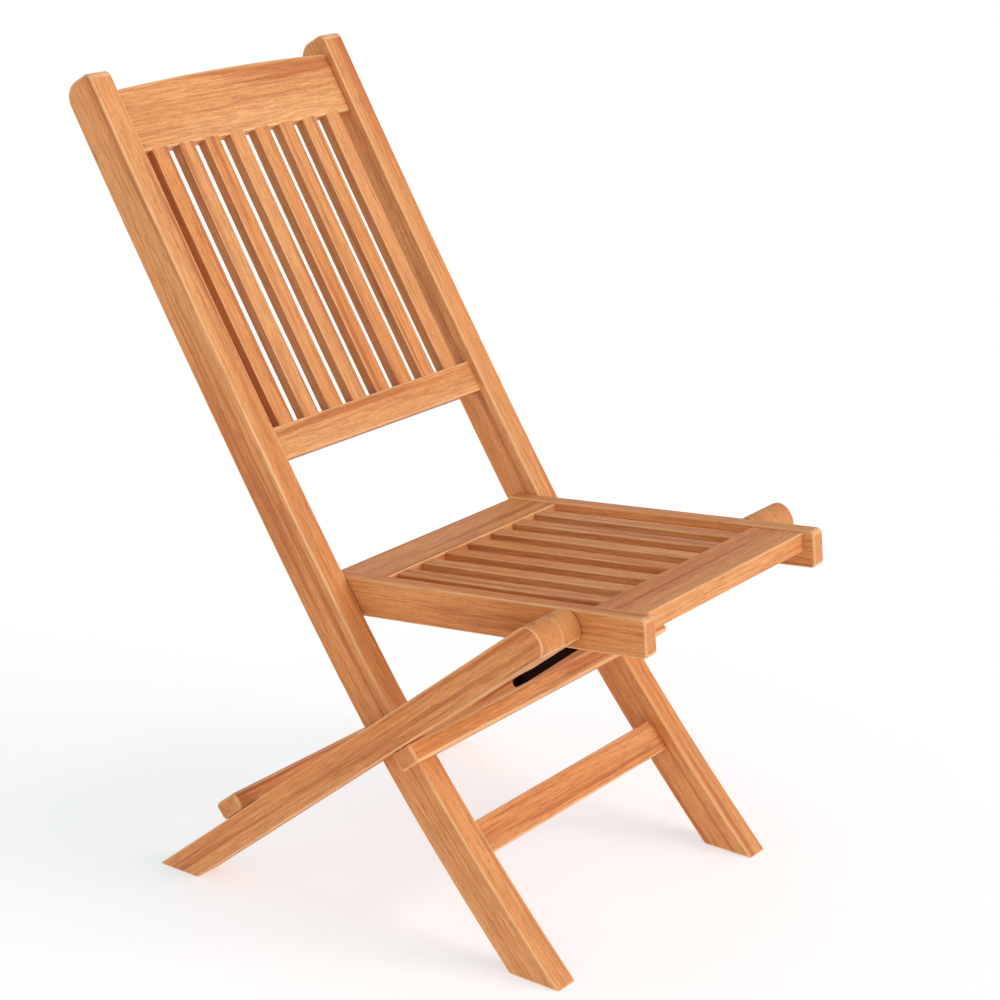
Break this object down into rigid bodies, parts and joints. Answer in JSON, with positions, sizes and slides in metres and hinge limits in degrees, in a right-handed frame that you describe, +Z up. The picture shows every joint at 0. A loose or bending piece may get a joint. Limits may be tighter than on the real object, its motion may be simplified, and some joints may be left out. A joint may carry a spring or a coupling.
{
  "type": "folding garden chair",
  "caption": "Slatted wooden folding garden chair, stored open: curved back stiles, seat and crossed rear legs fold up towards the back on side pivots.",
  "frame": {"origin": "on the floor, at the middle of the open chair's width and depth", "axes": "+Z up; +X to the sitter's left, across the chair; the sitter faces -Y, so the back leans towards +Y"},
  "size_m": [0.4954, 0.744, 0.89],
  "materials": {
    "teak": "oiled, satin",
    "beech": "plain",
    "steel": "satin",
    "brass": "satin",
    "nylon": "matte"
  },
  "bodies": {
    "back_frame": {"stile_left": "teak", "stile_right": "teak", "crest_rail": "teak", "lumbar_rail": "teak", "front_stretcher": "teak", "back_slat_1": "teak", "back_slat_2": "teak", "back_slat_3": "teak", "back_slat_4": "teak", "back_slat_5": "teak", "back_slat_6": "teak", "back_slat_7": "teak", "back_slat_8": "teak", "seat_pin_left": "steel", "seat_pin_right": "steel", "seat_washer_left": "nylon", "seat_washer_right": "nylon", "guide_pin_left": "steel", "guide_pin_right": "steel"},
    "seat": {"seat_rail_left": "teak", "seat_rail_right": "teak", "seat_front_rail": "teak", "seat_rear_rail": "teak", "seat_slat_1": "teak", "seat_slat_2": "teak", "seat_slat_3": "teak", "seat_slat_4": "teak", "seat_slat_5": "teak", "seat_slat_6": "teak", "seat_slat_7": "teak"},
    "legs": {"rear_leg_left": "teak", "rear_leg_right": "teak", "spacer_block_left": "teak", "spacer_block_right": "teak", "stop_rail": "teak", "rear_bar": "teak", "leg_bolt_left": "steel", "leg_bolt_right": "steel", "leg_insert_left": "brass", "leg_insert_right": "brass", "leg_washer_left": "nylon", "leg_washer_right": "nylon", "stop_dowel_1_left": "beech", "stop_dowel_1_right": "beech", "stop_dowel_2_left": "beech", "stop_dowel_2_right": "beech", "rear_dowel_1_left": "beech", "rear_dowel_1_right": "beech", "rear_dowel_2_left": "beech", "rear_dowel_2_right": "beech"}
  },
  "joints": [
    {"name": "seat_fold", "type": "hinge", "parent": "back_frame", "child": "seat", "pos_m": [0, 0.01343, 0.35866], "axis": [-1, 0, 0], "range_deg": [0, 92]},
    {"name": "leg_fold", "type": "hinge", "parent": "seat", "child": "legs", "pos_m": [0, -0.27105, 0.39088], "axis": [1, 0, 0], "range_deg": [0, 23.5]}
  ],
  "couplings": [
    {"joint": "leg_fold", "follows": "seat_fold", "ratio": 0.2542}
  ]
}
